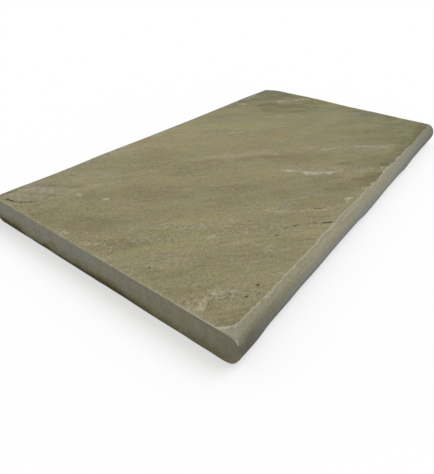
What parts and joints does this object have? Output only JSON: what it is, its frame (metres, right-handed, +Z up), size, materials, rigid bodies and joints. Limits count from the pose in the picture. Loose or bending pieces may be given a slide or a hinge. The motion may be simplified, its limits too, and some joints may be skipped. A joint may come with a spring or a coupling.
{
  "type": "wall coping stone",
  "caption": "Flat riven sandstone coping slab for a garden wall, with a full bullnose ground along each long edge, plain sawn ends and a flat bed.",
  "frame": {"origin": "middle of the flat bed, the underside that the wall carries", "axes": "+X along the wall and the stone's length, +Y across the wall, +Z up from the bed to the riven top"},
  "size_m": [0.6, 0.34, 0.0307],
  "materials": {
    "riven_sandstone": "riven olive-brown top, ground paler bullnose edges, grey sawn ends, matt"
  },
  "bodies": {
    "root": {"coping_stone": "riven_sandstone"}
  },
  "joints": []
}
